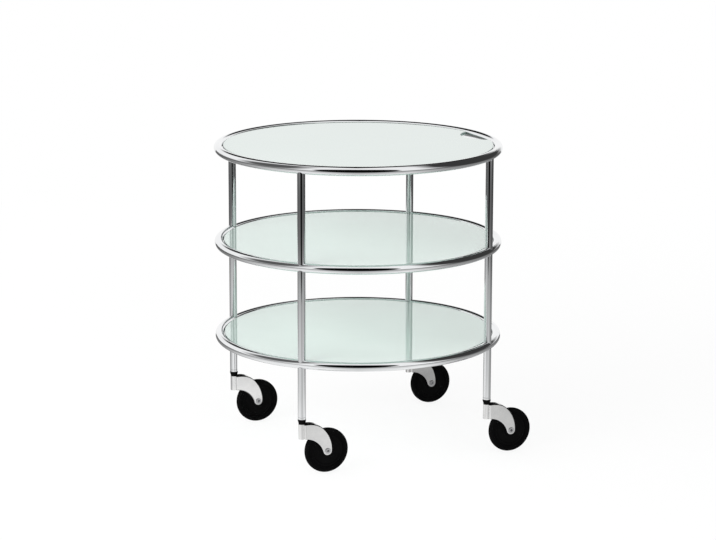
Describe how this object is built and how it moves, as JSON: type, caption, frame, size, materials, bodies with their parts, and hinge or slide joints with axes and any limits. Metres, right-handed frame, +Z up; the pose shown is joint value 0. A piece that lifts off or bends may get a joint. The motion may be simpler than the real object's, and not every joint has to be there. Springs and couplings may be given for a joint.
{
  "type": "rolling table",
  "caption": "Round three-tier rolling table: chromed tube rings clamped between posts, pale glass shelves, a hand hold in the top one, and swivel casters with black wheels.",
  "frame": {"origin": "on the floor, under the common axis of the rings", "axes": "+Z up, normal to the top shelf; +X towards the hand hold, midway between two posts"},
  "size_m": [0.5197, 0.516, 0.5485],
  "materials": {
    "chrome": "polished chrome plate",
    "shelf_glass": "opal white-green glass, glossy",
    "fork_metal": "cast and satin polished",
    "bright_steel": "bright turned steel",
    "black_plastic": "moulded, satin",
    "tyre_rubber": "matt rubber",
    "pad_silicone": "soft translucent silicone"
  },
  "bodies": {
    "frame": {"lower_ring": "chrome", "lower_glass": "shelf_glass", "middle_ring": "chrome", "middle_glass": "shelf_glass", "top_ring": "chrome", "top_glass": "shelf_glass", "upper_post_1": "chrome", "middle_post_1": "chrome", "leg_1": "chrome", "upper_post_2": "chrome", "middle_post_2": "chrome", "leg_2": "chrome", "upper_post_3": "chrome", "middle_post_3": "chrome", "leg_3": "chrome", "upper_post_4": "chrome", "middle_post_4": "chrome", "leg_4": "chrome", "threaded_plugs": "bright_steel", "joint_studs": "bright_steel", "top_ring_bushes": "bright_steel", "snap_rings": "bright_steel", "shelf_lugs": "chrome", "shelf_pads": "pad_silicone", "caster_socket_1": "black_plastic", "caster_socket_2": "black_plastic", "caster_socket_3": "black_plastic", "caster_socket_4": "black_plastic"},
    "caster_1": {"swivel_stem_1": "bright_steel", "caster_fork_1": "fork_metal", "wheel_axle_1": "bright_steel", "wheel_washers_1": "bright_steel"},
    "wheel_1": {"wheel_core_1": "black_plastic", "hub_bush_1": "bright_steel", "wheel_tyre_1": "tyre_rubber"},
    "caster_2": {"swivel_stem_2": "bright_steel", "caster_fork_2": "fork_metal", "wheel_axle_2": "bright_steel", "wheel_washers_2": "bright_steel"},
    "wheel_2": {"wheel_core_2": "black_plastic", "hub_bush_2": "bright_steel", "wheel_tyre_2": "tyre_rubber"},
    "caster_3": {"swivel_stem_3": "bright_steel", "caster_fork_3": "fork_metal", "wheel_axle_3": "bright_steel", "wheel_washers_3": "bright_steel"},
    "wheel_3": {"wheel_core_3": "black_plastic", "hub_bush_3": "bright_steel", "wheel_tyre_3": "tyre_rubber"},
    "caster_4": {"swivel_stem_4": "bright_steel", "caster_fork_4": "fork_metal", "wheel_axle_4": "bright_steel", "wheel_washers_4": "bright_steel"},
    "wheel_4": {"wheel_core_4": "black_plastic", "hub_bush_4": "bright_steel", "wheel_tyre_4": "tyre_rubber"}
  },
  "joints": [
    {"name": "caster_1_swivel", "type": "hinge", "parent": "frame", "child": "caster_1", "pos_m": [0.17678, 0.17678, 0.0998], "axis": [0, 0, 1], "continuous": true},
    {"name": "wheel_1_spin", "type": "hinge", "parent": "caster_1", "child": "wheel_1", "pos_m": [0.22177, 0.17599, 0.04], "axis": [0.0175, 0.9998, 0], "continuous": true},
    {"name": "caster_2_swivel", "type": "hinge", "parent": "frame", "child": "caster_2", "pos_m": [-0.17678, 0.17678, 0.0998], "axis": [0, 0, 1], "continuous": true},
    {"name": "wheel_2_spin", "type": "hinge", "parent": "caster_2", "child": "wheel_2", "pos_m": [-0.13178, 0.17599, 0.04], "axis": [0.0175, 0.9998, 0], "continuous": true},
    {"name": "caster_3_swivel", "type": "hinge", "parent": "frame", "child": "caster_3", "pos_m": [-0.17678, -0.17678, 0.0998], "axis": [0, 0, 1], "continuous": true},
    {"name": "wheel_3_spin", "type": "hinge", "parent": "caster_3", "child": "wheel_3", "pos_m": [-0.13178, -0.17756, 0.04], "axis": [0.0175, 0.9998, 0], "continuous": true},
    {"name": "caster_4_swivel", "type": "hinge", "parent": "frame", "child": "caster_4", "pos_m": [0.17678, -0.17678, 0.0998], "axis": [0, 0, 1], "continuous": true},
    {"name": "wheel_4_spin", "type": "hinge", "parent": "caster_4", "child": "wheel_4", "pos_m": [0.22177, -0.17756, 0.04], "axis": [0.0175, 0.9998, 0], "continuous": true}
  ]
}
